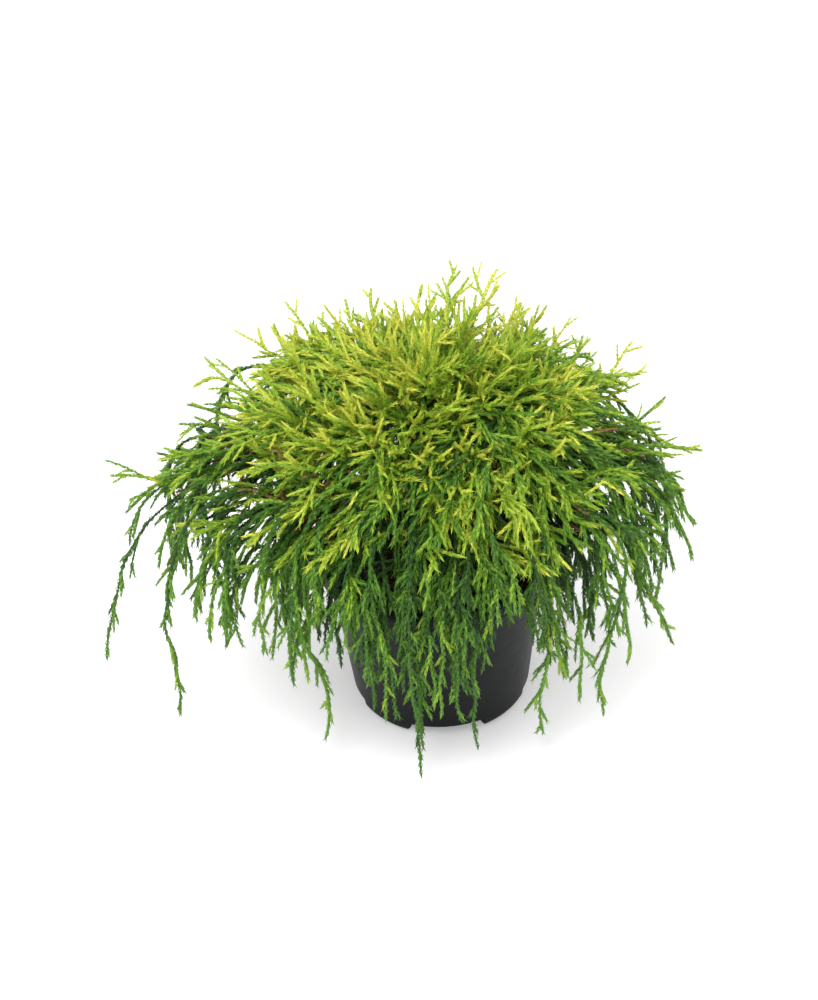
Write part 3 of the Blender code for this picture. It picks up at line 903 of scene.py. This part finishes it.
# How a spray gets to its tip: its headings at both ends, and where its root is looked for
reaches = {
    "top": {"lifts": (30, 80), "liftLoss": 35, "back": (0.050, 0.080), "backOut": 0.35,
            "backOutGain": 0.5, "backDown": 0.6, "leaveOut": 0.4, "leaveUp": 0.7},
    "shoulder": {"arriveUp": (-0.80, 0.25), "back": (0.060, 0.095), "under": 0.006, "leaveUp": (0.2, 0.8)},
    "hanging": {"arriveOut": (-0.10, 0.35), "rootShares": (0.45, 0.80), "rootHeights": (0.135, 0.170),
                "leaveUp": (0.1, 0.7)},
    "skirt": {"arriveOut": (-0.10, 0.20), "rootRadii": (0.025, 0.060), "rootHeights": (0.125, 0.165),
              "leaveUp": (-0.2, 0.5)},
    "inner": {"arriveOut": 0.6, "arriveDown": 0.3, "back": (0.035, 0.060), "backSpread": 0.5,
              "leaveOut": 0.5, "leaveSpread": 0.6},
}


def sprayTo(tip, habitName, places):
    facts = reaches[habitName]
    azimuth = math.atan2(tip[1], tip[0])
    outward, up = around(1, azimuth, 0), np.array([0.0, 0.0, 1.0])
    share = math.hypot(tip[0], tip[1]) / crownReach(azimuth)
    if habitName == "top":
        lift = math.radians(rng.uniform(*facts["lifts"]) - facts["liftLoss"] * share)
        arriving = outward * math.cos(lift) + up * math.sin(lift)
        back = outward * (facts["backOut"] + facts["backOutGain"] * share) + up * facts["backDown"]
        wanted = tip - back * rng.uniform(*facts["back"])
        leaving = outward * (facts["leaveOut"] + share) + up * facts["leaveUp"]
    elif habitName == "shoulder":
        arriving = outward + up * rng.uniform(*facts["arriveUp"])
        wanted = tip - outward * rng.uniform(*facts["back"]) - up * facts["under"]
        leaving = outward + up * rng.uniform(*facts["leaveUp"])
    elif habitName == "hanging":
        arriving = outward * rng.uniform(*facts["arriveOut"]) - up
        wanted = onCrown(rng.uniform(*facts["rootShares"]), azimuth, rng.uniform(*facts["rootHeights"]))
        leaving = outward + up * rng.uniform(*facts["leaveUp"])
    elif habitName == "skirt":
        arriving = outward * rng.uniform(*facts["arriveOut"]) - up
        wanted = around(rng.uniform(*facts["rootRadii"]), azimuth, rng.uniform(*facts["rootHeights"]))
        leaving = outward + up * rng.uniform(*facts["leaveUp"])
    else:
        arriving = unit(rng.normal(size=3)) + outward * facts["arriveOut"] - up * facts["arriveDown"]
        back = unit(outward + rng.normal(0, facts["backSpread"], 3))
        wanted = tip - back * rng.uniform(*facts["back"])
        leaving = outward * facts["leaveOut"] + rng.normal(0, facts["leaveSpread"], 3)
    root = places[int(np.argmin(np.sum((places - wanted) ** 2, axis=1)))]
    leaving = unit(leaving) + unit(tip - root) * spray["straight"] + rng.normal(0, spray["aimSpread"], 3)
    growSpray(root, tip, leaving, arriving + rng.normal(0, spray["aimSpread"], 3), habitName)


goldenAngle = math.pi * (3 - math.sqrt(5))

# Tips that stand out of the crown in the front view, clockwise from the top, by the habit of their sprays
outstandingTips = [
    ("top", [(0.017, 0.060, 0.233), (0.038, 0.060, 0.227), (0.051, 0.060, 0.208), (0.061, 0.070, 0.198),
             (0.076, 0.070, 0.188), (0.090, 0.070, 0.178), (0.111, 0.060, 0.180)]),
    ("shoulder", [(0.112, 0.040, 0.173), (0.122, 0.020, 0.151), (0.137, 0.000, 0.151)]),
    ("hanging", [(0.134, -0.020, 0.118), (0.134, -0.030, 0.101), (0.124, -0.040, 0.054),
                 (0.097, -0.060, 0.058), (0.086, -0.055, 0.019), (0.052, -0.065, 0.013)]),
    ("skirt", [(0.018, -0.080, 0.022), (-0.013, -0.085, 0.010)]),
    ("hanging", [(-0.064, -0.060, 0.015), (-0.079, -0.060, 0.056), (-0.089, -0.060, 0.075),
                 (-0.126, -0.040, 0.084), (-0.141, -0.050, 0.031), (-0.178, -0.030, 0.054),
                 (-0.163, 0.000, 0.107)]),
    ("shoulder", [(-0.166, 0.000, 0.151), (-0.122, 0.040, 0.180)]),
    ("top", [(-0.089, 0.060, 0.191), (-0.075, 0.080, 0.203), (-0.042, 0.070, 0.208),
             (-0.028, 0.070, 0.212), (-0.002, 0.070, 0.214)]),
]

# The tips that fill the crown, by habit: widest and shares are of the crown's reach, heights are taken
# from its surface and depth is under it, highest and lowest stand above the ground
filling = {
    "top": {"count": 185, "jitter": 0.1, "widest": 0.66, "heights": (-0.022, 0.009)},
    "shoulder": {"count": 150, "jitter": 0.1, "shares": (0.58, 0.94), "heights": (-0.024, 0.000)},
    "hanging": {"count": 180, "jitter": 0.1, "shares": (0.80, 0.98), "highest": 0.128},
    "skirt": {"count": 130, "jitter": 0.1, "radii": (0.071, 0.088), "highest": 0.100, "lowBias": 1.3},
    "inner": {"count": 95, "widest": 0.80, "lowest": 0.125, "depth": 0.030},
}

# A fan of sprays from one high twig, over the front and the right-hand side
fan = {
    "hub": (0.033, -0.022, 0.190), "hubSpread": 0.003, "bough": 9, "twigArriving": (0.3, -0.8, 0.5),
    "count": 50, "from": -140, "sweep": 165, "jitter": 0.05, "shares": (0.75, 0.96),
    "depths": (0.005, 0.035), "leaveUp": (0, 0, 0.35), "arriveDown": (0, 0, 0.5),
}


def fillingTip(habitName, number):
    facts = filling[habitName]
    azimuth = number * goldenAngle
    if "jitter" in facts:
        azimuth += rng.normal(0, facts["jitter"])
    if habitName in ("top", "inner"):
        share = facts["widest"] * math.sqrt((number + 0.5) / facts["count"])
        if habitName == "inner":
            return onCrown(share, azimuth, rng.uniform(facts["lowest"], crownHeight(share) - facts["depth"]))
        return onCrown(share, azimuth, crownHeight(share) + rng.uniform(*facts["heights"]))
    if habitName == "shoulder":
        share = rng.uniform(*facts["shares"])
        return onCrown(share, azimuth, crownHeight(share) + rng.uniform(*facts["heights"]))
    low = hangingLow(azimuth)
    rise = facts["highest"] - low
    if habitName == "hanging":
        share = rng.uniform(*facts["shares"])
        return onCrown(share, azimuth, low + rise * rng.uniform(0, 1))
    return around(rng.uniform(*facts["radii"]), azimuth, low + rise * rng.uniform(0, 1) ** facts["lowBias"])


def growCrown(lines, twigs):
    places = np.concatenate([line[-twig["lastRings"]:] for line in lines]
                            + [path[len(path) // 5::2] for path in twigs])
    for habitName, tips in outstandingTips:
        for tip in tips:
            sprayTo(np.array(tip), habitName, places)
    for habitName, facts in filling.items():
        for number in range(facts["count"]):
            sprayTo(fillingTip(habitName, number), habitName, places)


def fanTwig(lines):
    line = lines[fan["bough"]]
    arriving = np.array(fan["twigArriving"])
    return archPath(line[-1], np.array(fan["hub"]), unit(line[-1] - line[-2]), arriving, twig["step"])


def growFan():
    for number in range(fan["count"]):
        azimuth = math.radians(fan["from"] + fan["sweep"] * number / fan["count"])
        azimuth += rng.normal(0, fan["jitter"])
        share = rng.uniform(*fan["shares"])
        tip = onCrown(share, azimuth, crownHeight(share) - rng.uniform(*fan["depths"]))
        hub = np.array(fan["hub"]) + rng.normal(0, fan["hubSpread"], 3)
        outward = unit(tip - hub)
        growSpray(hub, tip, outward + np.array(fan["leaveUp"]), outward - np.array(fan["arriveDown"]), "fan")


pieceLimit = 190000
nodesOf = {
    "gold": [f"foliage_top_{i:02d}" for i in range(1, 6)] + [
        "foliage_top_middle", "spray_back_left", "spray_top_back", "spray_top_right"],
    "lime": [f"foliage_shoulder_{i:02d}" for i in range(1, 10)] + [
        "spray_arching_left", "spray_upper_left", "spray_back_right", "spray_reaching_right"],
    "mid_green": [f"foliage_hanging_{i:02d}" for i in range(1, 12)] + [
        "spray_drooping_left_outer", "spray_drooping_left_inner", "spray_drooping_right",
        "spray_dripping_left", "spray_dripping_front", "spray_dripping_right"],
    "deep_green": [f"foliage_skirt_{i:02d}" for i in range(1, 7)],
}


def sharedOut(parts):
    groups, size = [[]], 0
    for part in parts:
        if size + len(part[1]) > pieceLimit:
            groups.append([])
            size = 0
        groups[-1].append(part)
        size += len(part[1])
    return groups


def makeThreads():
    total = 0
    for level, (name, colour, slot) in enumerate(tones):
        material = threadMaterial(name, colour)
        parts = [threadArrays(path, radius) for tone, radius, path in threads if tone == level]
        for number, group in enumerate(sharedOut(parts), 1):
            piece = joined(f"threads_{name}_{number}", group, smooth=False)
            finishPiece(piece, material, slot, *(nodesOf.get(name, []) if number == 1 else []))
            print("threads", name, number, len(piece.data.polygons), "triangles")
            total += len(piece.data.polygons)
    length = sum(len(path) - 1 for tone, radius, path in threads) * thread["pitch"]
    print("threads in all", total, "triangles, length", length)


addCamera()
addStudio()
grain = makeGrainGroup()
materials = {name: grainedMaterial(name, grain) for name in grained}
makePot(materials["pot_plastic"])
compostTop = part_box("compost")[1][2]
makeBed(materials["compost"], compostTop)
makeChips(materials["chips"], compostTop)
boughLines, twigPaths = growScaffold()
makeBark(materials["bark"])
makeTwigs(twigPaths + [fanTwig(boughLines)], materials["twig_bark"])
growCrown(boughLines, twigPaths)
growFan()
makeThreads()
